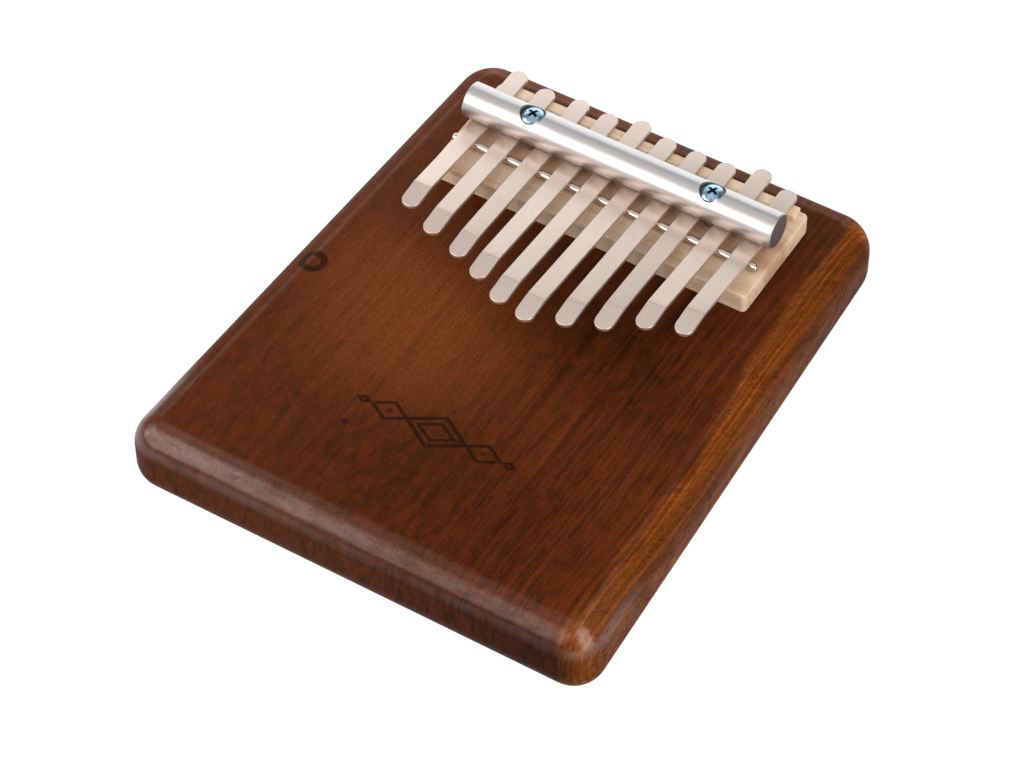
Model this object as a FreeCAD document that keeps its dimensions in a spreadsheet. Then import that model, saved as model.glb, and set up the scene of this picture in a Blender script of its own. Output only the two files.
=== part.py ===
import FreeCAD, Part
import os

import Sketcher

# A ten-key mbira: flat steel keys held by a rod on a pale block, on a solid tapered board.
# +X runs along the rod, -Y points to the player (the wide end), +Z is up, and the origin
# is the centre of the board's underside.  All sizes are in millimetres.

SIZES = {
    # board
    "board_length": 142.0,
    "board_near_width": 120.0,
    "board_far_width": 108.0,
    "board_thick": 20.0,
    "board_near_corner": 8.0,
    "board_far_corner": 8.6,
    "board_edge_round": 7.8,
    # bridge block and the strip on its back edge
    "block_width": 82.0,
    "block_front_y": 28.7,
    "block_back_y": 58.4,
    "block_thick": 5.0,
    "block_corner": 1.2,
    "block_edge_bevel": 0.5,
    "strip_width": 78.0,
    "strip_front_y": 54.6,
    "strip_thick": 2.0,
    "strip_edge_round": 0.6,
    # saddle wire
    "saddle_y": 37.0,
    "saddle_radius": 1.0,
    "saddle_length": 80.0,
    "saddle_shift": -0.6,
    "saddle_end_round": 0.4,
    # pressure rod
    "rod_y": 44.5,
    "rod_radius": 4.3,
    "rod_length": 80.6,
    "rod_dip": 0.45,
    "rod_end_bevel": 0.25,
    # clamp screws
    "screw_left_x": -23.7,
    "screw_right_x": 23.3,
    "screw_shank_radius": 1.4,
    "screw_length": 24.0,
    "screw_point": 3.0,
    "head_radius": 2.7,
    "head_rim": 1.2,
    "head_dome": 0.9,
    "head_seat": 2.1,
    "counterbore_radius": 3.05,
    "recess_half_span": 1.55,
    "recess_half_slot": 0.4,
    "recess_deep": 1.3,
    # keys
    "key_width": 4.5,
    "key_thick": 1.0,
    "key_pitch": 7.92,
    "key_row_shift": -0.27,
    "key_end_round": 2.2,
    "key_overlap": 1.1,
    "key_gap": 0.1,
    "tip_length": 7.0,
    "tip_drop": 0.84,
    "rod_flat": 0.5,
}

# Each key is set by hand, so each has its own sideways shift from an even row, its own tip
# and back end, and its own rise per millimetre from the saddle towards the tip.
KEYS = [
    {"shift": -0.7, "tip": 10.6, "back": 61.5, "rise": 0.080},
    {"shift": -0.2, "tip": 6.3, "back": 59.8, "rise": 0.055},
    {"shift": 0.5, "tip": 3.6, "back": 60.9, "rise": 0.040},
    {"shift": 0.5, "tip": -0.7, "back": 60.4, "rise": 0.075},
    {"shift": 0.3, "tip": -4.7, "back": 62.4, "rise": 0.075},
    {"shift": 0.1, "tip": -6.6, "back": 60.5, "rise": 0.080},
    {"shift": 0.1, "tip": -2.5, "back": 60.4, "rise": 0.060},
    {"shift": -0.3, "tip": 1.6, "back": 60.7, "rise": 0.040},
    {"shift": -0.2, "tip": 5.8, "back": 63.2, "rise": 0.085},
    {"shift": -0.1, "tip": 9.1, "back": 60.4, "rise": 0.075},
]

doc = FreeCAD.newDocument("Mbira")
sheet = doc.addObject("Spreadsheet::Sheet", "sizes")


class Size:
    """A length together with the sheet expression that gives it."""

    def __init__(self, value, text=None):
        self.value = float(value)
        self.text = text or str(value)

    def combined(self, other, sign, value):
        return Size(value, f"({self.text} {sign} {other.text})")

    def __add__(self, other):
        other = as_size(other)
        return self.combined(other, "+", self.value + other.value)

    def __sub__(self, other):
        other = as_size(other)
        return self.combined(other, "-", self.value - other.value)

    def __mul__(self, other):
        other = as_size(other)
        return self.combined(other, "*", self.value * other.value)

    def __truediv__(self, other):
        other = as_size(other)
        return self.combined(other, "/", self.value / other.value)

    def __neg__(self):
        return Size(-self.value, f"(-{self.text})")


def as_size(number):
    return number if isinstance(number, Size) else Size(number)


def fill_sheet():
    """Write every driving dimension into the sheet, one aliased cell each, and return them."""
    cells = dict(SIZES)
    for number, key in enumerate(KEYS, 1):
        for name, value in key.items():
            cells[f"key{number}_{name}"] = value
    for row, (name, value) in enumerate(cells.items(), 1):
        sheet.set(f"A{row}", name)
        sheet.set(f"B{row}", str(value))
        sheet.setAlias(f"B{row}", name)
    doc.recompute()
    return {name: Size(value, f"sizes.{name}") for name, value in cells.items()}


def bind(thing, **paths):
    """Bind properties to sizes; a double underscore in a name stands for a dot."""
    for path, size in paths.items():
        thing.setExpression(path.replace("__", "."), as_size(size).text)


def new_body(label):
    body = doc.addObject("PartDesign::Body", label)
    body.Label = label
    return body


def new_sketch(body, role):
    """A sketch on one of the body's own origin planes."""
    sketch = body.newObject("Sketcher::SketchObject", body.Label + "_sketch")
    plane = [p for p in body.Origin.OriginFeatures if p.Role == role][0]
    sketch.AttachmentSupport = [(plane, "")]
    sketch.MapMode = "FlatFace"
    return sketch


def dimension(sketch, kind, geometry, point, size):
    """Dimension one point from the sketch's origin and bind the dimension to the sheet."""
    index = sketch.addConstraint(Sketcher.Constraint(kind, -1, 1, geometry, point, size.value))
    sketch.setExpression(f"Constraints[{index}]", size.text)


def outline(sketch, corners):
    """A closed outline of straight lines whose corners are pairs of sizes."""
    corners = [(as_size(across), as_size(along)) for across, along in corners]
    places = [FreeCAD.Vector(across.value, along.value, 0) for across, along in corners]
    count = len(corners)
    for i in range(count):
        sketch.addGeometry(Part.LineSegment(places[i], places[(i + 1) % count]))
    for i in range(count):
        sketch.addConstraint(Sketcher.Constraint("Coincident", i, 2, (i + 1) % count, 1))
    for i, (across, along) in enumerate(corners):
        dimension(sketch, "DistanceX", i, 1, across)
        dimension(sketch, "DistanceY", i, 1, along)


def circle(sketch, across, along, radius):
    """A full circle whose centre and radius are sizes."""
    centre = FreeCAD.Vector(across.value, along.value, 0)
    axis = FreeCAD.Vector(0, 0, 1)
    ring = sketch.addGeometry(Part.Circle(centre, axis, radius.value))
    index = sketch.addConstraint(Sketcher.Constraint("Radius", ring, radius.value))
    sketch.setExpression(f"Constraints[{index}]", radius.text)
    dimension(sketch, "DistanceX", ring, 3, across)
    dimension(sketch, "DistanceY", ring, 3, along)


def pad(body, sketch, length, midplane=False):
    feature = body.newObject("PartDesign::Pad", body.Label + "_pad")
    feature.Profile = sketch
    feature.Midplane = midplane
    bind(feature, Length=length)
    doc.recompute()
    return feature


def pocket(body, sketch, length, reverse=False):
    """Cut a sketch into the body and make sure that material was removed."""
    before = body.Shape.Volume
    feature = body.newObject("PartDesign::Pocket", body.Label + "_pocket")
    feature.Profile = sketch
    feature.Reversed = reverse
    bind(feature, Length=length)
    doc.recompute()
    if body.Shape.Volume > before - 0.1:
        raise RuntimeError(f"{body.Label}: the pocket cut nothing")
    return feature


def dress(body, kind, wanted, **sizes):
    """Fillet or chamfer the edges of the body's tip for which wanted(edge) is true."""
    base = body.Tip
    names = [f"Edge{i}" for i, edge in enumerate(base.Shape.Edges, 1) if wanted(edge)]
    feature = body.newObject("PartDesign::" + kind, body.Label + "_" + kind.lower())
    feature.Base = (base, names)
    bind(feature, **sizes)
    doc.recompute()
    return feature


def middle(edge):
    return edge.valueAt((edge.FirstParameter + edge.LastParameter) / 2)


def upright(edge):
    box = edge.BoundBox
    return box.ZLength > 0.5 and box.XLength < 0.05 and box.YLength < 0.25


def at_height(z):
    """A test for edges that lie flat at a height in the body's own frame."""
    def test(edge):
        box = edge.BoundBox
        return abs(box.ZMin - z) < 0.01 and abs(box.ZMax - z) < 0.01
    return test


def make_board():
    """The solid tapered board, with every corner and long edge rounded."""
    body = new_body("board")
    half = size["board_length"] / 2
    sketch = new_sketch(body, "XY_Plane")
    outline(sketch, [
        (-size["board_near_width"] / 2, -half),
        (size["board_near_width"] / 2, -half),
        (size["board_far_width"] / 2, half),
        (-size["board_far_width"] / 2, half),
    ])
    pad(body, sketch, size["board_thick"])
    dress(body, "Fillet", lambda e: upright(e) and middle(e).y < 0,
          Radius=size["board_near_corner"])
    dress(body, "Fillet", lambda e: upright(e) and middle(e).y > half.value - 0.1,
          Radius=size["board_far_corner"])
    dress(body, "Fillet", at_height(size["board_thick"].value), Radius=size["board_edge_round"])
    dress(body, "Fillet", at_height(0), Radius=size["board_edge_round"])
    for side in ("left", "right"):
        hole = new_sketch(body, "XY_Plane")
        bind(hole, AttachmentOffset__Base__z=size["board_thick"])
        circle(hole, size[f"screw_{side}_x"], size["rod_y"], size["screw_shank_radius"])
        pocket(body, hole, size["board_thick"] - screw_point_height())


def block_top():
    return size["board_thick"] + size["block_thick"]


def key_top():
    """The height of a key's upper face where it crosses the saddle wire."""
    return block_top() + size["saddle_radius"] * 2 + size["key_thick"]


def rod_height():
    """The height of the rod's axis: the rod presses the keys down by rod_dip."""
    return key_top() - size["rod_dip"] + size["rod_radius"]


def head_seat_height():
    return rod_height() + size["head_seat"]


def screw_point_height():
    return head_seat_height() - size["screw_length"]


def make_block():
    """The flat bridge block, drilled for the two clamp screws."""
    body = new_body("bridge_block")
    sketch = new_sketch(body, "XY_Plane")
    half = size["block_width"] / 2
    outline(sketch, [
        (-half, size["block_front_y"]),
        (half, size["block_front_y"]),
        (half, size["block_back_y"]),
        (-half, size["block_back_y"]),
    ])
    pad(body, sketch, size["block_thick"])
    dress(body, "Fillet", upright, Radius=size["block_corner"])
    dress(body, "Chamfer", at_height(size["block_thick"].value), Size=size["block_edge_bevel"])
    for side in ("left", "right"):
        hole = new_sketch(body, "XY_Plane")
        circle(hole, size[f"screw_{side}_x"], size["rod_y"], size["screw_shank_radius"])
        pocket(body, hole, size["block_thick"], reverse=True)
    bind(body, Placement__Base__z=size["board_thick"])


def make_strip():
    """The low strip that carries the rear ends of the keys."""
    body = new_body("rear_strip")
    sketch = new_sketch(body, "XY_Plane")
    half = size["strip_width"] / 2
    back = size["block_back_y"] - size["block_edge_bevel"]
    outline(sketch, [
        (-half, size["strip_front_y"]),
        (half, size["strip_front_y"]),
        (half, back),
        (-half, back),
    ])
    pad(body, sketch, size["strip_thick"])
    dress(body, "Fillet", at_height(size["strip_thick"].value), Radius=size["strip_edge_round"])
    bind(body, Placement__Base__z=block_top())


def cylinder(name, radius, length, place, turn=0):
    """A bound cylinder along +Z, or along +X when turn is 90 degrees."""
    solid = doc.addObject("Part::Cylinder", name)
    rotation = FreeCAD.Rotation(FreeCAD.Vector(0, 1, 0), turn)
    solid.Placement = FreeCAD.Placement(FreeCAD.Vector(0, 0, 0), rotation)
    bind(solid, Radius=radius, Height=length)
    x, y, z = place
    bind(solid, Placement__Base__x=x, Placement__Base__y=y, Placement__Base__z=z)
    return solid


def soften_ends(name, base, kind, amount):
    """Round or bevel the two outer end circles of a part that lies along X."""
    doc.recompute()
    box = base.Shape.BoundBox
    edges = []
    for i, edge in enumerate(base.Shape.Edges, 1):
        reach = min(abs(edge.BoundBox.XMin - x) for x in (box.XMin, box.XMax))
        if edge.BoundBox.XLength < 0.01 and reach < 0.01:
            edges.append((i, amount.value, amount.value))
    feature = doc.addObject("Part::" + kind, name)
    feature.Base = base
    feature.Edges = edges
    feature.Label = name


def make_saddle():
    """The saddle wire, lying across the block with its ends slightly rounded."""
    start = size["saddle_shift"] - size["saddle_length"] / 2
    wire = cylinder("saddle_bar", size["saddle_radius"], size["saddle_length"],
                    (start, size["saddle_y"], block_top() + size["saddle_radius"]), turn=90)
    soften_ends("saddle_wire", wire, "Fillet", size["saddle_end_round"])


def make_rod():
    """The pressure rod, with a hole and a counterbore for each screw."""
    radius = size["rod_radius"]
    start = -size["rod_length"] / 2
    body = cylinder("rod_bar", radius, size["rod_length"],
                    (start, size["rod_y"], rod_height()), turn=90)
    for side in ("left", "right"):
        x = size[f"screw_{side}_x"]
        shank = cylinder(f"rod_{side}_hole", size["screw_shank_radius"], radius * 3,
                         (x, size["rod_y"], rod_height() - radius * 1.5))
        seat = cylinder(f"rod_{side}_counterbore", size["counterbore_radius"], radius,
                        (x, size["rod_y"], head_seat_height()))
        for number, tool in enumerate((shank, seat), 1):
            cut = doc.addObject("Part::Cut", f"rod_{side}_cut_{number}")
            cut.Base = body
            cut.Tool = tool
            body = cut
    soften_ends("pressure_rod", body, "Chamfer", size["rod_end_bevel"])


def make_screw(side):
    """A domed cross-recess wood screw whose head sits on the body's own XY plane."""
    body = new_body(f"clamp_screw_{side}")
    profile = new_sketch(body, "XZ_Plane")
    crown = size["head_rim"] + size["head_dome"]
    outline(profile, [
        (0, -size["screw_length"]),
        (size["screw_shank_radius"], size["screw_point"] - size["screw_length"]),
        (size["screw_shank_radius"], 0),
        (size["head_radius"], 0),
        (size["head_radius"], size["head_rim"]),
        (size["head_radius"] * 0.62, size["head_rim"] + size["head_dome"] * 0.72),
        (0, crown),
    ])
    turned = body.newObject("PartDesign::Revolution", body.Label + "_turned")
    turned.Profile = profile
    turned.ReferenceAxis = (profile, ["V_Axis"])
    turned.Angle = 360
    doc.recompute()
    span = size["recess_half_span"]
    slot = size["recess_half_slot"]
    for wide, deep in ((span, slot), (slot, span)):
        cross = new_sketch(body, "XY_Plane")
        bind(cross, AttachmentOffset__Base__z=crown)
        outline(cross, [(-wide, -deep), (wide, -deep), (wide, deep), (-wide, deep)])
        pocket(body, cross, size["recess_deep"])
    bind(body, Placement__Base__x=size[f"screw_{side}_x"], Placement__Base__y=size["rod_y"],
         Placement__Base__z=head_seat_height())


def strip_of_steel(label, top, number, round_end):
    """A bent flat strip: its top line dropped by the key's thickness and padded across."""
    body = new_body(label)
    sketch = new_sketch(body, "YZ_Plane")
    top = [(along, as_size(height)) for along, height in top]
    under = [(along, height - size["key_thick"]) for along, height in reversed(top)]
    outline(sketch, top + under)
    pad(body, sketch, size["key_width"], midplane=True)
    side = size["key_width"].value / 2
    box = body.Shape.BoundBox
    limit = box.YMin if round_end == "tip" else box.YMax

    def at_end(edge):
        point = middle(edge)
        return upright(edge) and abs(abs(point.x) - side) < 0.01 and abs(point.y - limit) < 0.2

    dress(body, "Fillet", at_end, Radius=size["key_end_round"])
    place_in_row = size["key_pitch"] * (number - (len(KEYS) + 1) / 2)
    bind(body, Placement__Base__z=key_top(),
         Placement__Base__x=size["key_row_shift"] + place_in_row + size[f"key{number}_shift"])


def make_key(number):
    """One steel key: the length clamped by the rod, and the blade that sounds.

    Heights are measured from the key's top at the saddle.
    """
    tip = size[f"key{number}_tip"]
    rise = size[f"key{number}_rise"]
    saddle = size["saddle_y"]
    front = saddle - size["key_overlap"]
    strip_of_steel(f"key_{number}_clamped", [
        (front, rise * size["key_overlap"]),
        (saddle, 0),
        (size["rod_y"] - size["rod_flat"], -size["rod_dip"]),
        (size["rod_y"] + size["rod_flat"], -size["rod_dip"]),
        (size["strip_front_y"] - size["rod_flat"], 0),
        (size[f"key{number}_back"], 0),
    ], number, "back")
    start = front - size["key_gap"]
    kink = tip + size["tip_length"]
    strip_of_steel(f"key_{number}_blade", [
        (tip, rise * (saddle - kink) - size["tip_drop"]),
        (kink, rise * (saddle - kink)),
        (start, rise * (saddle - start)),
    ], number, "tip")


def sub_parts():
    names = ["board", "bridge_block", "rear_strip", "saddle_wire", "pressure_rod",
             "clamp_screw_left", "clamp_screw_right"]
    for number in range(1, len(KEYS) + 1):
        names += [f"key_{number}_clamped", f"key_{number}_blade"]
    return names


def write_parts():
    """Check every object, then write one STEP file for each sub-part."""
    doc.recompute()
    for thing in doc.Objects:
        if {"Invalid", "Error"} & set(thing.State):
            raise RuntimeError(f"{thing.Label}: {thing.State}")
    shapes = {}
    for name in sub_parts():
        shape = doc.getObjectsByLabel(name)[0].Shape
        if shape.isNull() or not shape.isValid():
            raise RuntimeError(f"{name}: the shape is empty or not valid")
        shapes[name] = shape
    os.makedirs("parts", exist_ok=True)
    for name, shape in shapes.items():
        shape.exportStep(f"parts/{name}.step")
        box = shape.BoundBox
        print(f"{name}: {shape.Volume / 1000:.3f} cm3, y {box.YMin:.1f} to {box.YMax:.1f},"
              f" z {box.ZMin:.2f} to {box.ZMax:.2f}")


size = fill_sheet()
make_board()
make_block()
make_strip()
make_saddle()
make_rod()
make_screw("left")
make_screw("right")
for key_number in range(1, len(KEYS) + 1):
    make_key(key_number)
write_parts()
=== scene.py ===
"""A ten-key mbira on a thick wooden board: its detailed pieces, its finishes and a plain studio."""
import math
import bmesh
import bpy
from mathutils import Matrix, Vector


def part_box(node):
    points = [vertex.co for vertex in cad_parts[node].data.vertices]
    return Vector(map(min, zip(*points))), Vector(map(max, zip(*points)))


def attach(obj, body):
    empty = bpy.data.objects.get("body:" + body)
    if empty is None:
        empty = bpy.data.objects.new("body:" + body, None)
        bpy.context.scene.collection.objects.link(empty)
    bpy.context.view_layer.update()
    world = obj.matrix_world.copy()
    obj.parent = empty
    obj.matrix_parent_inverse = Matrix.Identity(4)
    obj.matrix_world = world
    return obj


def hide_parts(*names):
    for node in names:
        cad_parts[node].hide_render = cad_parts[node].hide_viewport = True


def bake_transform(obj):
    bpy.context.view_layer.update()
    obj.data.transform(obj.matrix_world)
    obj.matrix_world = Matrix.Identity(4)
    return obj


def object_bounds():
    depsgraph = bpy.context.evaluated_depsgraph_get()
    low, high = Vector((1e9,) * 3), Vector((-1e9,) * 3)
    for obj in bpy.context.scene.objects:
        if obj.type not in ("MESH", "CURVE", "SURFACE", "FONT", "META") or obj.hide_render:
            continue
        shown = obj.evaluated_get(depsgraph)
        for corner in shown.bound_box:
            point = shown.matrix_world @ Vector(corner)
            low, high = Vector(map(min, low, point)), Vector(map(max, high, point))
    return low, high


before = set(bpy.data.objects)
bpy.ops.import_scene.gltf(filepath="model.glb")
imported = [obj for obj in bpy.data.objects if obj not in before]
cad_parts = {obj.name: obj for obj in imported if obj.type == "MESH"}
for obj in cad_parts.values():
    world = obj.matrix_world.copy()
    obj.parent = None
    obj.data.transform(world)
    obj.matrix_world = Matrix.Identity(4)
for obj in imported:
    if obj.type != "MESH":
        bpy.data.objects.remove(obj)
cad_low, cad_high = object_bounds()

MM = 0.001
KEY_COUNT = 10
SAME = 1e-6                         # two heights closer than this are one height
NEAR = 1e-5                         # two places closer than this are one place


# ---------------------------------------------------------------- measures

BOARD_FAR_WIDTH = 108.0 * MM        # the board narrows from its near end to this
BOARD_NEAR_CORNER = 8.0 * MM
BOARD_FAR_CORNER = 8.6 * MM
BOARD_EDGE_ROUND = 7.8 * MM
BLOCK_CORNER = 1.2 * MM
BLOCK_EDGE = 0.5 * MM
STRIP_EDGE = 0.6 * MM
STRIP_END_EDGE = 0.15 * MM

KEY_THICK = 1.0 * MM
KEY_END_ROUND = 2.2 * MM
KEY_TIP_LENGTH = 7.0 * MM           # the end that a thumb plucks, bent down
KEY_TIP_DROP = 0.84 * MM
KEY_EDGE_ROUND = 0.14 * MM
KEY_STEP = 1.5 * MM                 # the free part has a line of edges this often
BEND_HALF = 0.5 * MM                # each bend is spread this far to both sides
ROD_DIP = 0.45 * MM                 # how far the rod presses each key down
ROD_FLAT = 0.5 * MM
ROD_RAMP = 3.0 * MM
ROD_END_ROUND = 0.28 * MM
SADDLE_END_ROUND = 0.62 * MM

HEAD_RADIUS = 2.7 * MM
HEAD_RIM = 1.2 * MM
HEAD_DOME = 0.9 * MM
HEAD_EDGE = 0.05 * MM
HEAD_BORE = 3.05 * MM
BORE_TALL = 9.0 * MM
BORE_EDGE = 0.1 * MM
SHANK_RADIUS = 1.4 * MM
POINT_SHARE = 0.15                  # the shank's last part narrows to a point
POINT_NARROW = 0.12
CROSS_REACH = 1.85 * MM
CROSS_HALF_SLOT = 0.45 * MM
CROSS_DEPTH = 1.3 * MM
CROSS_FLOOR = 0.42                  # the recess floor is this much of its mouth
CROSS_TURN = 24.0


# ---------------------------------------------------------------- modelling helpers

def deselect_everything():
    """Start the next step with nothing selected."""
    bpy.ops.object.select_all(action="DESELECT")


def settle(name):
    """Name the new primitive and put its place and size into its mesh."""
    piece = bpy.context.object
    piece.name = name
    piece.data.name = name
    bpy.ops.object.transform_apply(location=True, rotation=True, scale=True)
    return piece


def block_between(name, low, high):
    """A six-sided blank that fills the space between two corners."""
    deselect_everything()
    bpy.ops.mesh.primitive_cube_add(size=1.0, location=(Vector(low) + Vector(high)) / 2)
    bpy.context.object.scale = Vector(high) - Vector(low)
    return settle(name)


def round_bar(name, low_end, high_end, radius, sides=64):
    """A round blank between two points on one line along X or Z."""
    low_end = Vector(low_end)
    high_end = Vector(high_end)
    run = high_end - low_end
    turn = (0.0, math.pi / 2, 0.0) if abs(run.x) > abs(run.z) else (0.0, 0.0, 0.0)
    deselect_everything()
    bpy.ops.mesh.primitive_cylinder_add(
        vertices=sides, radius=radius, depth=run.length,
        location=(low_end + high_end) / 2, rotation=turn)
    return settle(name)


def open_for_editing(piece):
    """Select one piece alone and open its mesh."""
    deselect_everything()
    piece.select_set(True)
    bpy.context.view_layer.objects.active = piece
    bpy.ops.object.mode_set(mode="EDIT")


def close_editing():
    bpy.ops.object.mode_set(mode="OBJECT")


def choose(piece, kind, test):
    """Select the points, edges or faces that pass a test; kind is VERT, EDGE or FACE."""
    bpy.ops.mesh.select_mode(type=kind)
    bpy.ops.mesh.select_all(action="DESELECT")
    mesh = bmesh.from_edit_mesh(piece.data)
    group = {"VERT": mesh.verts, "EDGE": mesh.edges, "FACE": mesh.faces}[kind]
    for item in group:
        if test(item):
            item.select_set(True)
    mesh.select_flush_mode()
    bmesh.update_edit_mesh(piece.data)


def edge_middle(edge):
    """The point halfway along an edge."""
    return (edge.verts[0].co + edge.verts[1].co) / 2


def edge_run(edge):
    """The way an edge points, as a unit vector."""
    return (edge.verts[1].co - edge.verts[0].co).normalized()


def lies_at(edge, height):
    """Both ends of the edge are at one height."""
    return all(abs(vert.co.z - height) < SAME for vert in edge.verts)


def round_chosen(width, steps):
    """Round the selected edges off."""
    bpy.ops.mesh.bevel(offset=width, offset_type="OFFSET", segments=steps, profile=0.5,
                       affect="EDGES", clamp_overlap=True)


def cut_across(piece, point, normal):
    """Add a line of edges right round the piece, where a plane crosses it."""
    bpy.ops.mesh.select_all(action="SELECT")
    bpy.ops.mesh.bisect(plane_co=point, plane_no=normal, use_fill=False,
                        clear_inner=False, clear_outer=False)


def apply_modifier(piece, kind, **settings):
    """Put a modifier with these settings on a piece and apply it."""
    deselect_everything()
    piece.select_set(True)
    bpy.context.view_layer.objects.active = piece
    modifier = piece.modifiers.new(kind.lower(), kind)
    for name, value in settings.items():
        setattr(modifier, name, value)
    bpy.ops.object.modifier_apply(modifier=modifier.name)


def round_sharp_edges(piece, width, steps=3, sharper_than=35.0):
    """Round every edge that is sharper than an angle in degrees."""
    apply_modifier(piece, "BEVEL", width=width, segments=steps, limit_method="ANGLE",
                   angle_limit=math.radians(sharper_than), profile=0.5,
                   use_clamp_overlap=True, miter_outer="MITER_ARC")


def cut_away(piece, cutter):
    """Take the cutter's shape out of the piece, then put the cutter away."""
    apply_modifier(piece, "BOOLEAN", operation="DIFFERENCE", solver="EXACT", object=cutter)
    bpy.data.objects.remove(cutter)


def smooth(piece, sharper_than=35.0):
    """Shade curves smoothly and keep flats flat."""
    deselect_everything()
    piece.select_set(True)
    bpy.context.view_layer.objects.active = piece
    bpy.ops.object.shade_smooth_by_angle(angle=math.radians(sharper_than))
    apply_modifier(piece, "WEIGHTED_NORMAL", mode="FACE_AREA", weight=50, keep_sharp=True)


def dress(piece, finishes):
    """Give a piece its finishes; the first covers it all until paint() is used."""
    for finish in finishes:
        piece.data.materials.append(finish.material)


def paint(piece, index, test):
    """Give the faces that pass a test the piece's finish of that number."""
    open_for_editing(piece)
    choose(piece, "FACE", test)
    piece.active_material_index = index
    bpy.ops.object.material_slot_assign()
    close_editing()


def on_frame(piece, node):
    """The piece stands for one CAD node of the fixed frame."""
    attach(piece, "frame")
    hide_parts(node)


# ---------------------------------------------------------------- finish helpers

def tone(red, green, blue):
    """A colour given as 0-255 values on a screen, made linear."""
    def linear(value):
        value /= 255.0
        if value <= 0.04045:
            return value / 12.92
        return ((value + 0.055) / 1.055) ** 2.4
    return (linear(red), linear(green), linear(blue), 1.0)


class Finish:
    """One surface finish, built node by node on its own material."""

    def __init__(self, name, settings):
        self.material = bpy.data.materials.new(name)
        self.material.use_nodes = True
        self.tree = self.material.node_tree
        self.shader = self.tree.nodes["Principled BSDF"]
        for socket, value in settings.items():
            self.shader.inputs[socket].default_value = value
        self.place = self.add("ShaderNodeTexCoord").outputs["Object"]
        self.normal = None

    def add(self, kind, inputs=None, **properties):
        """A new node, with its inputs joined or set by name."""
        node = self.tree.nodes.new(kind)
        for name, value in properties.items():
            setattr(node, name, value)
        for name, value in (inputs or {}).items():
            self.feed(node.inputs[name], value)
        return node

    def feed(self, socket, value):
        """Join a socket to another node's output, or set it to a plain value."""
        if isinstance(value, bpy.types.NodeSocket):
            self.tree.links.new(value, socket)
        else:
            socket.default_value = value

    def drive(self, socket, source):
        """Join a node's output to one of the shader's sockets."""
        self.tree.links.new(source, self.shader.inputs[socket])

    def seen_from(self, centre=(0, 0, 0), size=(1, 1, 1), turn=(0, 0, 0), place=None):
        """The place on the piece, measured from a centre in steps of a size in mm."""
        return self.add("ShaderNodeMapping", {
            "Vector": place or self.place,
            "Location": [c * MM for c in centre],
            "Rotation": [math.radians(t) for t in turn],
            "Scale": [s * MM for s in size],
        }, vector_type="TEXTURE").outputs["Vector"]

    def grain(self, size, detail=3.0, rough=0.55, warp=0.0, turn=(0, 0, 0), start=(0, 0, 0),
              place=None):
        """Cloudy spots of a given size in mm along X, Y and Z."""
        where = self.seen_from(start, size, turn, place)
        return self.add("ShaderNodeTexNoise", {
            "Vector": where, "Scale": 1.0, "Detail": detail, "Roughness": rough,
            "Distortion": warp}).outputs["Fac"]

    def level(self, source, low, high, to_low=0.0, to_high=1.0, soft=False):
        """Spread low..high over to_low..to_high, and hold it there beyond."""
        return self.add("ShaderNodeMapRange", {
            "Value": source, "From Min": low, "From Max": high,
            "To Min": to_low, "To Max": to_high},
            clamp=True, interpolation_type="SMOOTHSTEP" if soft else "LINEAR").outputs["Result"]

    def maths(self, operation, first, second=0.0):
        """One sum with one or two values."""
        node = self.add("ShaderNodeMath", operation=operation)
        self.feed(node.inputs[0], first)
        self.feed(node.inputs[1], second)
        return node.outputs["Value"]

    def mix(self, amount, first, second, blend="MIX"):
        """From the first colour to the second as the amount goes from 0 to 1."""
        node = self.add("ShaderNodeMix", data_type="RGBA", blend_type=blend)
        self.feed(node.inputs[0], amount)
        self.feed(node.inputs[6], first)
        self.feed(node.inputs[7], second)
        return node.outputs[2]

    def shade(self, colour, amount):
        """The colour made lighter or darker by a factor that varies over the surface."""
        grey = self.add("ShaderNodeCombineColor")
        for channel in range(3):
            self.feed(grey.inputs[channel], amount)
        return self.mix(1.0, colour, grey.outputs["Color"], "MULTIPLY")

    def ramp(self, source, *stops):
        """Colours laid out along a 0-1 value; each stop is a position and a colour."""
        node = self.add("ShaderNodeValToRGB", {"Fac": source})
        steps = node.color_ramp.elements
        while len(steps) < len(stops):
            steps.new(0.5)
        for step, (position, colour) in zip(steps, stops):
            step.position = position
            step.color = colour
        return node.outputs["Color"]

    def axes(self):
        """The place on the piece as separate X, Y and Z values, in metres."""
        node = self.add("ShaderNodeSeparateXYZ", {"Vector": self.place})
        return node.outputs["X"], node.outputs["Y"], node.outputs["Z"]

    def facing(self):
        """The way the surface faces, as separate X, Y and Z values."""
        node = self.add("ShaderNodeSeparateXYZ", {
            "Vector": self.add("ShaderNodeTexCoord").outputs["Normal"]})
        return node.outputs["X"], node.outputs["Y"], node.outputs["Z"]

    def away_from(self, centre, size, turn=(0, 0, 0)):
        """How far off an oval patch is: 0 at its centre, 1 at its rim. All in mm."""
        return self.add("ShaderNodeVectorMath", {
            "Vector": self.seen_from(centre, size, turn)}, operation="LENGTH").outputs["Value"]

    def relief(self, height, depth):
        """Raise and sink the surface by a depth in mm, on top of any earlier relief."""
        inputs = {"Height": height, "Distance": depth * MM, "Strength": 1.0}
        if self.normal is not None:
            inputs["Normal"] = self.normal
        self.normal = self.add("ShaderNodeBump", inputs).outputs["Normal"]
        self.drive("Normal", self.normal)


# ---------------------------------------------------------------- finish: board

RING_CENTRE = (-50.0, -7.9, 0.0)    # small burnt ring by the left edge, in mm
RING_RADIUS = 2.5
MOTIF_CENTRE = (0.6, -36.3, 0.0)    # burnt lozenge motif on the near half
PIN_KNOT = (-18.1, -43.9, 20.0)


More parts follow.
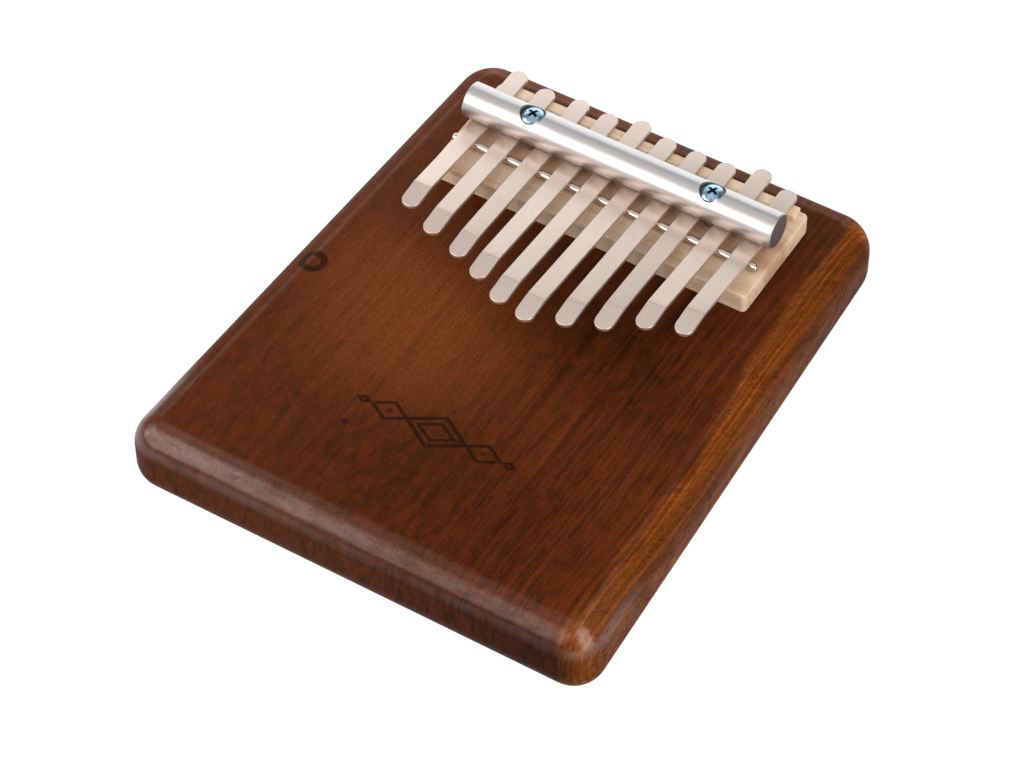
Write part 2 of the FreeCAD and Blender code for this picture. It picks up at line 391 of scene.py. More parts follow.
def burnt_marks(wood):
    """How strongly the plain ring and the lozenge motif are burnt in, 0 to 1."""
    def line(value, middle, half_width):
        away = wood.maths("ABSOLUTE", wood.maths("SUBTRACT", value, middle))
        return wood.level(away, half_width * 0.45, half_width, 1.0, 0.0, soft=True)

    def flat_distance(centre):
        split = wood.add("ShaderNodeSeparateXYZ", {"Vector": wood.seen_from(centre)})
        across = split.outputs["X"]
        along = split.outputs["Y"]
        squares = wood.maths("ADD", wood.maths("MULTIPLY", across, across),
                             wood.maths("MULTIPLY", along, along))
        return wood.maths("SQRT", squares)

    def lozenge(centre, half_long, half_high):
        split = wood.add("ShaderNodeSeparateXYZ", {
            "Vector": wood.seen_from(centre, (half_long, half_high, 1.0))})
        return wood.maths("ADD", wood.maths("ABSOLUTE", split.outputs["X"]),
                          wood.maths("ABSOLUTE", split.outputs["Y"]))

    x, y, _ = MOTIF_CENTRE
    parts = [
        line(flat_distance(RING_CENTRE), RING_RADIUS, 1.2),
        line(lozenge(MOTIF_CENTRE, 7.5, 4.6), 1.0, 0.17),
        line(lozenge(MOTIF_CENTRE, 4.6, 2.6), 1.0, 0.23),
    ]
    for side in (-1, 1):
        parts.append(line(lozenge((x + side * 12.0, y, 0), 4.4, 2.6), 1.0, 0.25))
        parts.append(wood.level(flat_distance((x + side * 12.0, y, 0)), 0.3, 0.8, 1.0, 0.0))
        parts.append(line(lozenge((x + side * 18.6, y, 0), 2.4, 1.5), 0.5, 0.5))
    total = parts[0]
    for part in parts[1:]:
        total = wood.maths("MAXIMUM", total, part)
    uneven = wood.level(wood.grain((0.5, 1.6, 0.5), start=(7, 3, 0)), 0.3, 0.6, 0.75, 1.0)
    height = wood.axes()[2]
    on_top = wood.level(height, 19.0 * MM, 19.6 * MM)
    return wood.maths("MULTIPLY", wood.maths("MULTIPLY", total, uneven), on_top)


def board_finish():
    """Stained red-brown hardwood under a thin satin lacquer, grain along Y."""
    wood = Finish("stained_board_wood", {
        "Specular IOR Level": 0.02,
        "Specular Tint": (1.0, 0.75, 0.65, 1.0),
        "Coat IOR": 1.62,
        "Coat Roughness": 0.23,
    })
    wander = wood.grain((26, 90, 26), detail=2.0)
    sway = wood.add("ShaderNodeCombineXYZ", {
        "X": wood.level(wander, 0.2, 0.8, -1.6 * MM, 1.6 * MM)})
    wavy = wood.add("ShaderNodeVectorMath", operation="ADD")
    wood.feed(wavy.inputs[0], wood.place)
    wood.feed(wavy.inputs[1], sway.outputs["Vector"])
    along_grain = wavy.outputs["Vector"]
    across, along, _ = wood.axes()
    face_x, face_y, face_z = wood.facing()

    # Broad tone: warm and light left of the middle, deeper towards the near right.
    drift = wood.maths("ADD", wood.maths("MULTIPLY", across, 9.0),
                       wood.maths("MULTIPLY", along, -3.4))
    broad = wood.grain((24, 70, 30), detail=2.0, start=(3, 11, 0))
    depth = wood.maths("ADD", drift, wood.maths("MULTIPLY", broad, 1.3))
    colour = wood.ramp(
        wood.level(depth, -0.1, 1.5),
        (0.0, tone(80, 40, 17)), (0.35, tone(71, 37, 15)),
        (0.6, tone(70, 36, 14)), (1.0, tone(80, 38, 14)))
    light_heart = wood.away_from((-21, -8, 20), (34, 42, 60), (0, 0, 20))
    colour = wood.shade(colour, wood.level(light_heart, 0.15, 1.1, 2.0, 1.0, soft=True))
    # Painted shadow of the keys and rod on the board in front of the key tips.
    painted_tip_shadow = wood.away_from((26, -1, 20), (30, 17, 40), (0, 0, -12))
    near_shade = wood.away_from((14, -50, 20), (46, 26, 60), (0, 0, -8))

    # Amber sapwood along the right edge, with a slanting figure. The ramp holds the
    # sapwood line's distance from the middle, in steps of 0.1 m.
    edge_line = wood.ramp(
        wood.level(along, -60 * MM, 40 * MM),
        (0.0, (0.526, 0.526, 0.526, 1)), (0.4, (0.538, 0.538, 0.538, 1)),
        (0.75, (0.496, 0.496, 0.496, 1)), (1.0, (0.484, 0.484, 0.484, 1)))
    wobble = wood.level(wood.grain((6, 14, 20), detail=3.0, start=(5, 2, 9)),
                        0.25, 0.75, -2.2 * MM, 2.2 * MM)
    past_line = wood.maths("SUBTRACT", wood.maths("ADD", across, wobble),
                           wood.maths("MULTIPLY", edge_line, 0.1))
    amber_here = wood.level(past_line, -2.2 * MM, 1.4 * MM, soft=True)
    figure = wood.grain((1.6, 14, 9), detail=3.0, warp=0.6, turn=(0, 0, -34))
    amber = wood.ramp(figure, (0.3, tone(104, 54, 17)), (0.52, tone(124, 69, 22)),
                      (0.7, tone(110, 58, 18)))
    amber = wood.shade(amber, wood.level(along, 0.0, 45 * MM, 1.0, 0.8))
    colour = wood.mix(amber_here, colour, amber)

    # A painted shadow in front of the key tips and a darker patch by the near end, then growth
    # lines, fine streaks, pores and a fine speckle.
    # The lines grow stronger towards the right.
    bands = wood.grain((1.1, 55, 6), detail=2.0, place=along_grain)
    streaks = wood.grain((0.34, 22, 3.5), detail=4.0, rough=0.7, place=along_grain)
    pores = wood.grain((0.17, 2.4, 0.7), detail=2.0, place=along_grain, start=(1, 5, 2))
    speckle = wood.grain((0.5, 0.8, 0.5), detail=3.0, rough=0.7)
    flame = wood.grain((2.4, 5.5, 4), detail=4.0, rough=0.6, warp=0.5, start=(6, 6, 1))
    lined = wood.level(across, -12 * MM, 22 * MM, soft=True)
    # Painted shadow in front of the key tips, then the darker patch by the near end.
    colour = wood.shade(colour, wood.level(painted_tip_shadow, 0.3, 1.1, 0.66, 1.0, soft=True))
    colour = wood.shade(colour, wood.level(near_shade, 0.3, 1.2, 0.66, 1.0, soft=True))
    colour = wood.shade(colour, wood.level(bands, 0.3, 0.7, 0.84, 1.12))
    long_lines = wood.grain((0.75, 70, 5), detail=2.0, place=along_grain, start=(8, 1, 2))
    lined_tone = wood.maths("MULTIPLY", wood.level(long_lines, 0.42, 0.58, -0.24, 0.18), lined)
    colour = wood.shade(colour, wood.maths("ADD", lined_tone, 1.0))
    streak_tone = wood.maths("SUBTRACT", streaks, 0.5)
    streak_gain = wood.level(lined, 0.0, 1.0, 0.6, 1.6)
    colour = wood.shade(colour, wood.level(
        wood.maths("MULTIPLY", streak_tone, streak_gain), -0.4, 0.4, 0.55, 1.45))
    mottle = wood.grain((1.2, 2.0, 1.2), detail=4.0, rough=0.75, start=(3, 3, 5))
    colour = wood.shade(colour, wood.level(mottle, 0.35, 0.65, 0.91, 1.08))
    colour = wood.shade(colour, wood.level(speckle, 0.3, 0.7, 0.78, 1.22))
    flecks = wood.grain((0.22, 0.5, 0.25), detail=1.0, start=(4, 4, 9))
    colour = wood.shade(colour, wood.level(flecks, 0.38, 0.62, 0.84, 1.16))
    colour = wood.mix(wood.level(flame, 0.4, 0.7, 0.0, 0.34), colour, tone(110, 46, 14))
    colour = wood.shade(colour, wood.level(flame, 0.3, 0.5, 0.94, 1.0))
    pore_depth = wood.maths("MULTIPLY", wood.level(pores, 0.56, 0.66), wood.level(
        wood.maths("ABSOLUTE", face_y), 0.5, 0.9, 1.0, 0.35))
    colour = wood.mix(wood.maths("MULTIPLY", pore_depth, 0.34), colour, tone(46, 19, 9))

    # Both ends and the long sides drink more stain, and the ends show dark ripples. Painted shade
    # darkens the ends towards the right, and painted light makes the surfaces that face the far end
    # paler.
    end_grain = wood.maths("ABSOLUTE", face_y)
    colour = wood.shade(colour, wood.level(end_grain, 0.55, 1.0, 1.0, 0.82, soft=True))
    # Painted light on the surfaces that face the far end.
    colour = wood.shade(colour, wood.level(face_y, 0.05, 0.45, 1.0, 1.9))
    # Painted shade on both ends, deeper towards the right.
    painted_end_shade = wood.maths("MULTIPLY", wood.level(end_grain, 0.6, 1.0),
                          wood.level(across, 0.0, 48 * MM, soft=True))
    colour = wood.shade(colour, wood.level(painted_end_shade, 0.0, 1.0, 1.0, 0.42))
    ripple = wood.grain((1.3, 6, 9), detail=2.0, warp=0.8, start=(2, 3, 8))
    ripple_here = wood.maths("MULTIPLY", wood.level(end_grain, 0.6, 1.0),
                             wood.level(ripple, 0.52, 0.64))
    colour = wood.shade(colour, wood.level(ripple_here, 0.0, 1.0, 1.0, 0.7))
    side_grain = wood.maths("ABSOLUTE", face_x)
    colour = wood.shade(colour, wood.level(side_grain, 0.6, 1.0, 1.0, 0.6, soft=True))

    # A pin knot, and the burnt marks.
    knot = wood.away_from(PIN_KNOT, (0.95, 1.05, 3.0))
    knot_here = wood.level(knot, 0.55, 1.15, 0.85, 0.0, soft=True)
    colour = wood.mix(knot_here, colour, tone(38, 20, 26))
    burnt = burnt_marks(wood)
    colour = wood.mix(wood.maths("MULTIPLY", burnt, 0.86), colour, tone(29, 16, 8))
    wood.drive("Base Color", colour)

    # Satin sheen, duller in the pores and the burnt lines. The lacquer is thick on the
    # near edge and its corners, thinner to the right, and nearly gone on the flat top
    # and along the other edges.
    sheen = wood.level(streaks, 0.3, 0.7, 0.5, 0.38)
    wood.drive("Roughness", wood.maths("ADD", sheen, wood.maths("MULTIPLY", pore_depth, 0.2)))
    lacquer = wood.level(face_z, 0.05, 0.45, 0.0, 1.0, soft=True)
    gaps = wood.maths("MAXIMUM", wood.maths("MULTIPLY", pore_depth, 0.5),
                      wood.maths("MULTIPLY", burnt, 0.8))
    off_near_end = wood.level(along, -58 * MM, -44 * MM)
    rubbed_left = wood.maths("MULTIPLY", off_near_end,
                             wood.level(face_x, -0.3, -0.02, 0.97, 0.0))
    rubbed_far = wood.level(face_y, 0.05, 0.4, 0.0, 0.97)
    rubbed_right = wood.maths("MULTIPLY", off_near_end,
                              wood.level(face_x, 0.05, 0.4, 0.0, 0.94))
    for rubbed in (rubbed_left, rubbed_far, rubbed_right):
        gaps = wood.maths("MAXIMUM", gaps, rubbed)
    lacquer = wood.maths("MULTIPLY", lacquer, wood.level(streaks, 0.3, 0.6, 0.8, 1.0))
    patchy = wood.grain((6, 2.2, 2.2), detail=4.0, rough=0.65, start=(7, 1, 4))
    turned_sideways = wood.level(wood.maths("ABSOLUTE", face_x), 0.12, 0.34)
    worn = wood.maths("MAXIMUM", wood.level(patchy, 0.35, 0.58, 0.58, 1.0),
                      turned_sideways)
    lacquer = wood.maths("MULTIPLY", lacquer, worn)
    lacquer = wood.maths("MULTIPLY", lacquer, wood.level(
        face_z, 0.975, 0.999, 1.0, 0.12, soft=True))
    thinner = wood.maths("MAXIMUM", wood.level(across, -56 * MM, 14 * MM, 1.0, 0.5),
                         turned_sideways)
    lacquer = wood.maths("MULTIPLY", lacquer, thinner)
    lacquer = wood.maths("MULTIPLY", lacquer, wood.maths("SUBTRACT", 1.0, gaps))
    wood.drive("Coat Weight", lacquer)
    wood.relief(wood.level(streaks, 0.2, 0.8), 0.005)
    wood.relief(wood.maths("SUBTRACT", 1.0, pore_depth), 0.006)
    wood.relief(wood.grain((7, 9, 7), detail=3.0), 0.11)
    wood.relief(wood.maths("SUBTRACT", 1.0, burnt), 0.03)
    wood.drive("Coat Normal", wood.normal)
    return wood


# ---------------------------------------------------------------- finish: pale block

ROD_SHADE_Y = 43.0 * MM             # middle of the band of painted shade under the rod


def block_finish():
    """Pale unfinished wood, sawn a little rough, grain along X, with painted shade in a brown band
    under the rod.
    """
    wood = Finish("pale_block_wood", {"Specular IOR Level": 0.2})
    fibres = wood.grain((9, 0.32, 0.5), detail=4.0, rough=0.65, turn=(0, 0, 3))
    bands = wood.grain((40, 3.0, 4.0), detail=2.0, warp=0.4)
    saw_marks = wood.grain((0.45, 14, 9), detail=2.0, turn=(0, 0, 8))
    stain = wood.grain((6, 7, 2.5), detail=3.0, start=(4, 1, 3))
    colour = wood.ramp(bands, (0.3, tone(217, 195, 171)), (0.5, tone(225, 206, 184)),
                       (0.72, tone(206, 182, 154)))
    colour = wood.shade(colour, wood.level(fibres, 0.3, 0.7, 0.91, 1.05))
    colour = wood.shade(colour, wood.level(saw_marks, 0.35, 0.7, 1.03, 0.93))
    colour = wood.mix(wood.level(stain, 0.58, 0.75, 0.0, 0.4), colour, tone(168, 126, 88))
    # Painted shade: a brown band under the rod, where the rod and keys shade the block.
    from_rod = wood.maths("ABSOLUTE", wood.maths("SUBTRACT", wood.axes()[1], ROD_SHADE_Y))
    colour = wood.mix(wood.level(from_rod, 3.0 * MM, 8.0 * MM, 0.44, 0.0, soft=True),
                      colour, tone(150, 94, 58))
    wood.drive("Base Color", colour)
    wood.drive("Roughness", wood.level(fibres, 0.3, 0.7, 0.82, 0.62))
    wood.relief(fibres, 0.09)
    wood.relief(saw_marks, 0.07)
    return wood


# ---------------------------------------------------------------- finishes: metal

def key_finish():
    """Nickel-plated spring steel, satin, warm in tone, with handling scratches."""
    steel = Finish("satin_key_steel", {"Metallic": 0.8})
    brushed = steel.grain((0.12, 9, 2), detail=3.0, rough=0.6)
    cloud = steel.grain((5, 9, 5), detail=3.0)
    scratch_a = steel.grain((0.07, 5.5, 3), detail=1.0, turn=(0, 0, 38))
    scratch_b = steel.grain((0.06, 4.0, 3), detail=1.0, turn=(0, 0, -24), start=(9, 4, 0))
    nicks = steel.grain((0.3, 0.45, 0.4), detail=1.0, start=(2, 8, 0))
    scratches = steel.maths("MAXIMUM", steel.level(scratch_a, 0.7, 0.76),
                            steel.level(scratch_b, 0.71, 0.77))
    nick_here = steel.level(nicks, 0.74, 0.8)
    colour = steel.ramp(cloud, (0.3, tone(214, 200, 189)), (0.7, tone(220, 206, 196)))
    colour = steel.mix(steel.maths("MULTIPLY", scratches, 0.6), colour, tone(150, 140, 134))
    colour = steel.mix(steel.maths("MULTIPLY", nick_here, 0.5), colour, tone(172, 158, 148))
    steel.drive("Base Color", colour)
    matt = steel.level(brushed, 0.3, 0.7, 0.31, 0.35)
    steel.drive("Roughness", steel.maths("ADD", matt, steel.maths("MULTIPLY", scratches, 0.1)))
    steel.relief(brushed, 0.0005)
    steel.relief(steel.maths("SUBTRACT", 1.0, scratches), 0.008)
    steel.relief(steel.maths("SUBTRACT", 1.0, nick_here), 0.012)
    steel.relief(cloud, 0.014)
    return steel


def saddle_finish():
    """Bright drawn wire."""
    wire = Finish("bright_saddle_wire", {"Metallic": 1.0})
    drawn = wire.grain((12, 0.12, 0.12), detail=3.0)
    spots = wire.grain((0.9, 0.6, 0.6), detail=2.0)
    wire.drive("Base Color", wire.ramp(spots, (0.35, tone(192, 180, 168)),
                                       (0.65, tone(212, 202, 190))))
    wire.drive("Roughness", wire.level(drawn, 0.3, 0.7, 0.14, 0.22))
    wire.relief(drawn, 0.002)
    return wire


def rod_finish():
    """Bright aluminium, turned and polished, with faint lines round it."""
    metal = Finish("polished_rod_aluminium", {"Metallic": 1.0})
    turned = metal.grain((0.05, 6, 6), detail=3.0, rough=0.6)
    rubbed = metal.grain((9, 1.2, 1.2), detail=3.0)
    scuffs = metal.grain((2.6, 0.09, 0.09), detail=1.0, turn=(0, 12, 6))
    scuff_here = metal.level(scuffs, 0.74, 0.82)
    colour = metal.ramp(rubbed, (0.3, tone(190, 188, 187)), (0.7, tone(198, 197, 197)))
    colour = metal.mix(metal.maths("MULTIPLY", scuff_here, 0.3), colour, tone(190, 188, 188))
    metal.drive("Base Color", colour)
    metal.drive("Roughness", metal.level(turned, 0.3, 0.7, 0.34, 0.4))
    metal.relief(turned, 0.0004)
    metal.relief(rubbed, 0.004)
    return metal


def rod_end_shade_finish():
    """The rod's cut ends, dull with saw lines, and darkened with painted shade."""
    metal = Finish("shaded_dull_aluminium_end", {"Metallic": 0.75})
    lines = metal.grain((6, 5, 0.14), detail=3.0, turn=(18, 0, 0))
    spots = metal.grain((0.5, 0.5, 0.5), detail=3.0, start=(1, 2, 3))
    # The dark colours are painted shade; the saw lines and dullness are the metal's own.
    colour = metal.ramp(spots, (0.3, tone(84, 74, 76)), (0.7, tone(116, 104, 104)))
    metal.drive("Base Color", metal.shade(colour, metal.level(lines, 0.3, 0.7, 0.8, 1.15)))
    metal.drive("Roughness", metal.level(lines, 0.3, 0.7, 0.5, 0.66))
    metal.relief(lines, 0.02)
    return metal


def screw_finish():
    """Blue zinc plating over a pressed head, worn bright on the high spots."""
    zinc = Finish("blue_zinc_plate", {"Metallic": 1.0})
    cloud = zinc.grain((0.9, 0.9, 0.9), detail=3.0)
    pressed = zinc.grain((0.22, 0.22, 0.22), detail=2.0, start=(3, 1, 4))
    zinc.drive("Base Color", zinc.ramp(
        cloud, (0.28, tone(120, 158, 184)), (0.5, tone(158, 192, 212)),
        (0.72, tone(180, 206, 220))))
    zinc.drive("Roughness", zinc.level(pressed, 0.3, 0.7, 0.18, 0.34))
    zinc.relief(pressed, 0.014)
    return zinc


def painted_shade_recess_zinc():
    """The driver recess: the same blue plating, darkened with painted shade."""
    zinc = Finish("shaded_zinc_recess", {"Metallic": 0.7})
    cloud = zinc.grain((0.5, 0.5, 0.5), detail=3.0)
    # Painted shade: dark colours where shade falls in the recess.
    zinc.drive("Base Color", zinc.ramp(cloud, (0.3, tone(22, 44, 66)), (0.7, tone(44, 76, 102))))
    zinc.drive("Roughness", zinc.level(cloud, 0.3, 0.7, 0.4, 0.55))
    zinc.relief(cloud, 0.02)
    return zinc


def shank_finish():
    """The screw's shank: dull plating with wood dust from the hole stuck to it."""
    dusty = Finish("dusty_screw_shank", {"Metallic": 0.4})
    turns = dusty.grain((3, 3, 0.35), detail=2.0)
    dust = dusty.grain((0.4, 0.4, 0.3), detail=3.0)
    dusty.drive("Base Color", dusty.ramp(dust, (0.3, tone(104, 84, 66)),
                                         (0.7, tone(140, 116, 92))))
    dusty.drive("Roughness", dusty.level(dust, 0.3, 0.7, 0.5, 0.7))
    dusty.relief(turns, 0.05)
    return dusty


# ---------------------------------------------------------------- pieces: woodwork

def make_board(finish):
    """The sound board: narrower at the far end, all its edges turned over roundly."""
    low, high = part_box("board")
    near_width = high.x - low.x
    board = block_between("sound_board", low, high)
    open_for_editing(board)
    choose(board, "VERT", lambda v: v.co.y > 0)
    bpy.ops.transform.resize(value=(BOARD_FAR_WIDTH / near_width, 1, 1),
                             center_override=((low.x + high.x) / 2, high.y, 0))
    choose(board, "EDGE", lambda e: abs(edge_run(e).z) > 0.9 and edge_middle(e).y < 0)
    round_chosen(BOARD_NEAR_CORNER, 12)
    choose(board, "EDGE", lambda e: abs(edge_run(e).z) > 0.9 and edge_middle(e).y > 0)
    round_chosen(BOARD_FAR_CORNER, 12)
    for height in (low.z, high.z):
        choose(board, "EDGE", lambda e: lies_at(e, height))
        round_chosen(BOARD_EDGE_ROUND, 14)
    close_editing()
    smooth(board)
    dress(board, [finish])
    on_frame(board, "board")


def make_block(finish):
    """The pale block under the keys, with its corners and upper edges rubbed round."""
    low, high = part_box("bridge_block")
    block = block_between("pale_bridge_block", low, high)
    open_for_editing(block)
    choose(block, "EDGE", lambda e: abs(edge_run(e).z) > 0.9)
    round_chosen(BLOCK_CORNER, 5)
    choose(block, "EDGE", lambda e: lies_at(e, high.z))
    round_chosen(BLOCK_EDGE, 4)
    close_editing()
    smooth(block)
    dress(block, [finish])
    on_frame(block, "bridge_block")


def make_strip(finish):
    """The narrow strip that the keys' back ends rest on."""
    low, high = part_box("rear_strip")
    strip = block_between("rear_support_strip", low, high)
    open_for_editing(strip)
    choose(strip, "EDGE", lambda e: abs(edge_run(e).x) > 0.9 and edge_middle(e).z > low.z + NEAR)
    round_chosen(STRIP_EDGE, 5)
    close_editing()
    round_sharp_edges(strip, STRIP_END_EDGE, 2)
    smooth(strip)
    dress(strip, [finish])
    on_frame(strip, "rear_strip")


# ---------------------------------------------------------------- pieces: metalwork

def make_saddle(finish):
    """The wire that the keys ride over, its ends rounded off."""
    low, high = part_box("saddle_wire")
    middle = (low + high) / 2
    radius = (high.z - low.z) / 2
    wire = round_bar("saddle_wire_bar", (low.x, middle.y, middle.z),
                     (high.x, middle.y, middle.z), radius, sides=40)
    open_for_editing(wire)
    choose(wire, "EDGE", lambda e: abs(edge_run(e).x) < 0.1)
    round_chosen(SADDLE_END_ROUND, 5)
    close_editing()
    smooth(wire)
    dress(wire, [finish])
    on_frame(wire, "saddle_wire")


def make_rod(finish, end_finish):
    """The pressure rod, bored and countersunk for its two screws."""
    low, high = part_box("pressure_rod")
    middle = (low + high) / 2
    radius = (high.z - low.z) / 2
    rod = round_bar("pressure_rod_bar", (low.x, middle.y, middle.z),
                    (high.x, middle.y, middle.z), radius, sides=112)
    open_for_editing(rod)
    choose(rod, "EDGE", lambda e: abs(edge_run(e).x) < 0.1)
    round_chosen(ROD_END_ROUND, 3)
    close_editing()
    for side in ("left", "right"):
        screw_low, screw_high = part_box(f"clamp_screw_{side}")
        at = (screw_low + screw_high) / 2
        seat = screw_high.z - HEAD_DOME - HEAD_RIM
        cut_away(rod, round_bar("bore", (at.x, at.y, seat), (at.x, at.y, seat + BORE_TALL),
                                HEAD_BORE, sides=64))
    round_sharp_edges(rod, BORE_EDGE, 2, sharper_than=50.0)
    smooth(rod)
    dress(rod, [finish, end_finish])
    paint(rod, 1, lambda f: abs(f.normal.x) > 0.98
          and abs(f.calc_center_median().x) > abs(low.x) * 0.98)
    on_frame(rod, "pressure_rod")


def cross_cutter(centre, top):
    """A tapered plus shape that presses the driver recess into a screw head."""
    half = CROSS_HALF_SLOT
    cutter = block_between("cross", (centre.x - half, centre.y - half, top - CROSS_DEPTH),
                           (centre.x + half, centre.y + half, top + 0.6 * MM))
    open_for_editing(cutter)
    for direction in ((1, 0), (-1, 0), (0, 1), (0, -1)):
        way = Vector((direction[0], direction[1], 0))
        choose(cutter, "FACE", lambda f: f.normal.dot(way) > 0.9
               and (f.calc_center_median() - centre).dot(way) > half * 0.9
               and abs((f.calc_center_median() - centre).cross(way).z) < half * 0.5)
        bpy.ops.mesh.extrude_region_move(
            TRANSFORM_OT_translate={"value": way * (CROSS_REACH - half)})
    choose(cutter, "VERT", lambda v: v.co.z < top - CROSS_DEPTH / 2)
    bpy.ops.transform.resize(value=(CROSS_FLOOR, CROSS_FLOOR, 1),
                             center_override=(centre.x, centre.y, top - CROSS_DEPTH))
    bpy.ops.mesh.select_all(action="SELECT")
    bpy.ops.transform.rotate(value=math.radians(CROSS_TURN), orient_axis="Z",
                             center_override=(centre.x, centre.y, top))
    close_editing()
    return cutter


def make_screw(side, finish, recess_shade_zinc, dusty_finish):
    """A domed cross-head screw: cap of a ball, straight rim, shank and point."""
    low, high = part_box(f"clamp_screw_{side}")
    centre = (low + high) / 2
    seat = high.z - HEAD_DOME - HEAD_RIM
    ball = (HEAD_RADIUS ** 2 + HEAD_DOME ** 2) / (2 * HEAD_DOME)
    deselect_everything()
    bpy.ops.mesh.primitive_uv_sphere_add(segments=64, ring_count=96, radius=ball,
                                         location=(centre.x, centre.y, high.z - ball))
    screw = settle(f"cross_head_screw_{side}")
    open_for_editing(screw)
    bpy.ops.mesh.select_all(action="SELECT")
    bpy.ops.mesh.bisect(plane_co=(centre.x, centre.y, seat + HEAD_RIM), plane_no=(0, 0, 1),
                        use_fill=False, clear_inner=True, clear_outer=False)
    choose(screw, "EDGE", lambda e: e.is_boundary)
    bpy.ops.mesh.extrude_region_move(TRANSFORM_OT_translate={"value": (0, 0, -HEAD_RIM)})
    bpy.ops.mesh.extrude_region_move()
    narrow = SHANK_RADIUS / HEAD_RADIUS
    bpy.ops.transform.resize(value=(narrow, narrow, 1), center_override=tuple(centre))
    shank = seat - low.z
    for share in (1 - POINT_SHARE, POINT_SHARE):
        bpy.ops.mesh.extrude_region_move(
            TRANSFORM_OT_translate={"value": (0, 0, -shank * share)})
    bpy.ops.transform.resize(value=(POINT_NARROW, POINT_NARROW, 1),
                             center_override=tuple(centre))
    bpy.ops.mesh.edge_face_add()
    bpy.ops.mesh.select_all(action="SELECT")
    bpy.ops.mesh.normals_make_consistent(inside=False)
    close_editing()
    cut_away(screw, cross_cutter(centre, high.z))
    round_sharp_edges(screw, HEAD_EDGE, 2, sharper_than=38.0)
    smooth(screw)
    dress(screw, [finish, recess_shade_zinc, dusty_finish])
    ball_centre = Vector((centre.x, centre.y, high.z - ball))
    rim = HEAD_RADIUS * 0.9

    def in_recess(face):
        middle = face.calc_center_median()
        out = math.hypot(middle.x - centre.x, middle.y - centre.y)
        return out < rim and (middle - ball_centre).length < ball - 0.06 * MM

    # The recess faces get the finish with painted shade.
    paint(screw, 1, in_recess)
    paint(screw, 2, lambda f: f.calc_center_median().z < seat)
    on_frame(screw, f"clamp_screw_{side}")


def turn_chosen(degrees, centre):
    """Turn what is selected about a line along X; positive lifts the near end."""
    bpy.ops.transform.rotate(value=math.radians(degrees), orient_axis="X",
                             center_override=centre)


def bend(key, line_y, line_z, angle):
    """Bend everything nearer than a line, in three small turns, so that it is rounded."""
    for step in (-1, 0, 1):
        at = line_y - step * BEND_HALF
        choose(key, "VERT", lambda v: v.co.y < at - NEAR)
        turn_chosen(angle / 3, (0, at, line_z))


def make_key(number, finish):
    """One key, a single strip from its plucked tip to its back end."""
    clamped_low, clamped_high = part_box(f"key_{number}_clamped")
    blade_low, blade_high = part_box(f"key_{number}_blade")
    saddle_low, saddle_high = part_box("saddle_wire")
    rod_low, rod_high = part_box("pressure_rod")
    strip_low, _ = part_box("rear_strip")
    saddle_y = (saddle_low.y + saddle_high.y) / 2
    rod_y = (rod_low.y + rod_high.y) / 2
    top = saddle_high.z + KEY_THICK
    tip = blade_low.y
    kink = tip + KEY_TIP_LENGTH
    rise = (blade_high.z - top) / (saddle_y - kink)
    slope = math.degrees(math.atan(rise))
    tip_slope = math.degrees(math.atan(KEY_TIP_DROP / KEY_TIP_LENGTH))

    key = block_between(f"key_{number}", (clamped_low.x, tip, top - KEY_THICK),
                        (clamped_high.x, clamped_high.y, top))
    open_for_editing(key)
    choose(key, "EDGE", lambda e: abs(edge_run(e).z) > 0.9)
    round_chosen(KEY_END_ROUND, 9)
    stations = [kink - BEND_HALF, kink, kink + BEND_HALF,
                saddle_y - BEND_HALF, saddle_y, saddle_y + BEND_HALF,
                rod_y - ROD_FLAT - ROD_RAMP, rod_y - ROD_FLAT, rod_y + ROD_FLAT,
                rod_y + ROD_FLAT + ROD_RAMP, strip_low.y - BEND_HALF]
    station = saddle_y - KEY_STEP
    while station > kink + 2 * BEND_HALF:
        stations.append(station)
        station -= KEY_STEP
    for station in stations:
        cut_across(key, (0, station, 0), (0, 1, 0))
    choose(key, "VERT", lambda v: abs(v.co.y - rod_y) < ROD_FLAT + NEAR)
    bpy.ops.transform.translate(value=(0, 0, -ROD_DIP))
    for side in (-1, 1):
        ramp_y = rod_y + side * (ROD_FLAT + ROD_RAMP)
        choose(key, "VERT", lambda v: abs(v.co.y - ramp_y) < NEAR)
        bpy.ops.transform.translate(value=(0, 0, -ROD_DIP * 0.5))
    bend(key, saddle_y, top, slope)
    bend(key, kink, blade_high.z, -(slope + tip_slope))
    close_editing()
    round_sharp_edges(key, KEY_EDGE_ROUND, 3, sharper_than=40.0)
    smooth(key)
    dress(key, [finish])
    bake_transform(key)
    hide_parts(f"key_{number}_clamped", f"key_{number}_blade")


# ---------------------------------------------------------------- studio

CAMERA_AIM = Vector((-1.50, -1.29, 0.0)) * MM
CAMERA_AZIMUTH = 31.580
CAMERA_ELEVATION = 49.274
CAMERA_ROLL = -0.277
CAMERA_DISTANCE = 875.96 * MM
CAMERA_LENS = 135.98
WARM_LAMP = (1.0, 0.885, 0.82)
AMBER_LAMP = (1.0, 0.84, 0.72)
FLOOR_SIZE = 8.0
AIR_LIGHT = 0.12


def direction(azimuth, elevation):
    """Unit vector from the object; azimuth 0 is towards -Y and 90 towards +X."""
    a = math.radians(azimuth)
    e = math.radians(elevation)
    return Vector((math.sin(a) * math.cos(e), -math.cos(a) * math.cos(e), math.sin(e)))


def make_camera():
    """A long lens above the near right corner."""
    away = direction(CAMERA_AZIMUTH, CAMERA_ELEVATION)
    bpy.ops.object.camera_add(location=CAMERA_AIM + away * CAMERA_DISTANCE)
    camera = bpy.context.object
    camera.name = "studio_camera"
    look = (-away).to_track_quat("-Z", "Y").to_matrix()
    roll = Matrix.Rotation(math.radians(CAMERA_ROLL), 3, "Z")
    camera.rotation_euler = (look @ roll).to_euler()
    camera.data.lens = CAMERA_LENS
    camera.data.sensor_width = 36.0
    camera.data.clip_start = 0.01
    camera.data.clip_end = 20.0
    bpy.context.scene.camera = camera


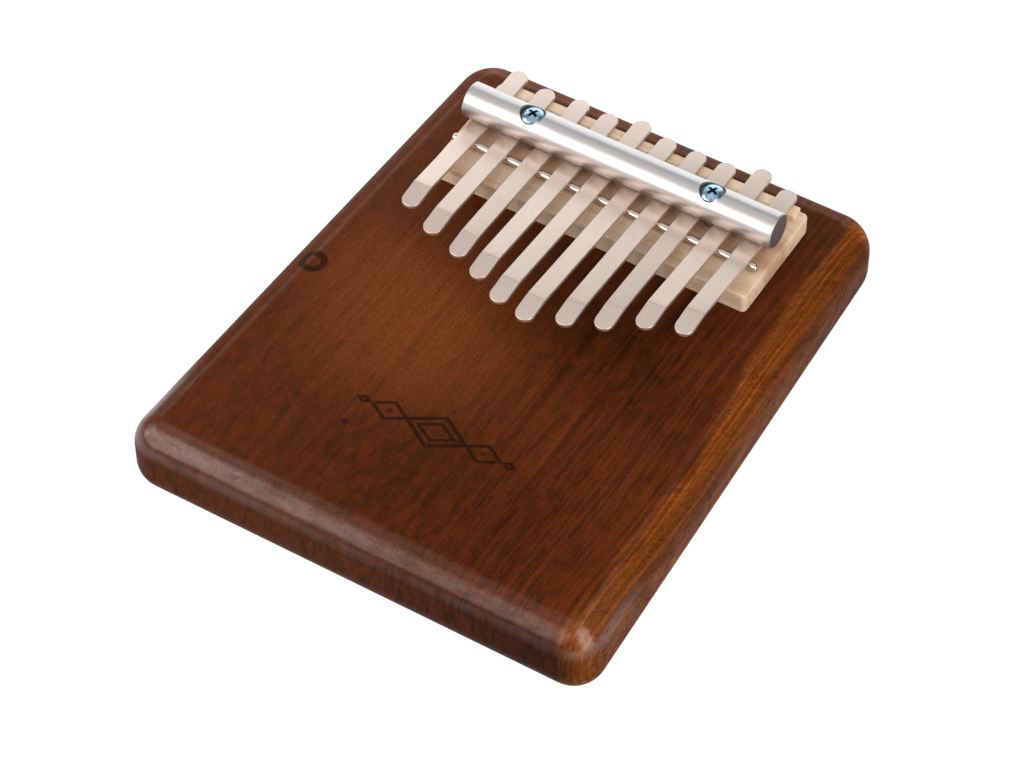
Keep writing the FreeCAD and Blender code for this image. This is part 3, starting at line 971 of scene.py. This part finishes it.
def soft_box(name, azimuth, elevation, distance, width, height, radiance, colour=(1, 1, 1)):
    """A flat light facing the object; radiance is its brightness seen face on."""
    towards = direction(azimuth, elevation)
    bpy.ops.object.light_add(type="AREA", location=towards * distance)
    light = bpy.context.object
    light.name = name
    light.rotation_euler = towards.to_track_quat("Z", "Y").to_euler()
    light.data.shape = "RECTANGLE"
    light.data.size = width
    light.data.size_y = height
    light.data.energy = radiance * width * height * math.pi
    light.data.color = colour


def make_studio():
    """A lit white floor, faint light all round, and four soft boxes."""
    deselect_everything()
    bpy.ops.mesh.primitive_plane_add(size=FLOOR_SIZE, location=(0, 0, cad_low.z - 0.0001))
    floor = settle("studio_floor")
    acrylic = Finish("lit_white_acrylic", {
        "Roughness": 0.9,
        "Specular IOR Level": 0.1,
        "Emission Color": (1.0, 1.0, 1.0, 1.0),
        "Emission Strength": 1.0,
    })
    cloud = acrylic.grain((0.5, 0.5, 0.5))
    acrylic.drive("Base Color", acrylic.ramp(
        cloud, (0.3, (0.07, 0.07, 0.07, 1)), (0.7, (0.09, 0.09, 0.09, 1))))
    dress(floor, [acrylic])

    world = bpy.data.worlds.new("studio_air")
    bpy.context.scene.world = world
    world.use_nodes = True
    air = world.node_tree.nodes["Background"]
    air.inputs["Color"].default_value = (1.0, 1.0, 1.0, 1.0)
    air.inputs["Strength"].default_value = AIR_LIGHT

    soft_box("back_panel", 208, 22, 0.31, 0.42, 0.252, 1.5)
    soft_box("left_soft_box", -41, 35, 1.1, 1.45, 0.9, 3.7, WARM_LAMP)
    soft_box("right_kicker", 71, 31, 0.8, 0.54, 0.95, 4.0, AMBER_LAMP)
    soft_box("overhead_soft_box", 208, 84, 1.1, 1.1, 1.1, 0.75)
    bpy.context.scene.view_settings.view_transform = "Standard"


# ---------------------------------------------------------------- the whole mbira

make_camera()
make_studio()

make_board(board_finish())
pale_wood = block_finish()
make_block(pale_wood)
make_strip(pale_wood)
make_saddle(saddle_finish())
make_rod(rod_finish(), rod_end_shade_finish())
plated = screw_finish()
recess = painted_shade_recess_zinc()
dusty = shank_finish()
make_screw("left", plated, recess, dusty)
make_screw("right", plated, recess, dusty)
steel = key_finish()
for key_number in range(1, KEY_COUNT + 1):
    make_key(key_number, steel)
